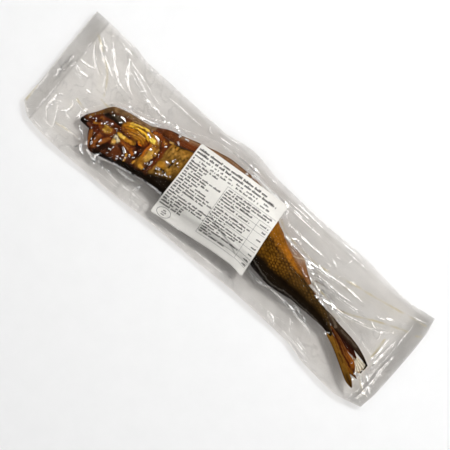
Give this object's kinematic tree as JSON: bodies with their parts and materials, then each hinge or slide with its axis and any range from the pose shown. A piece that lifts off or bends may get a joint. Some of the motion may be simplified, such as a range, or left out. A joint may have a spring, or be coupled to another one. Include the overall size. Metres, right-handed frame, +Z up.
{
  "type": "smoked fish in a clear vacuum pouch",
  "caption": "Whole smoked fish with its head on, lying on its side in a clear vacuum pouch with welded ends and a plain printed label over its middle.",
  "frame": {"origin": "middle of the bounding box of the pouch, on the surface that it rests on", "axes": "+X along the pouch from the fish's head to its tail, +Y towards the fish's belly, +Z up"},
  "size_m": [0.3344, 0.0939, 0.0248],
  "materials": {
    "pouch": "clear glossy film drawn tight over a golden brown fish",
    "label": "matt off-white paper with small dark print"
  },
  "bodies": {
    "root": {"pouch": "pouch", "label": "label"}
  },
  "joints": []
}
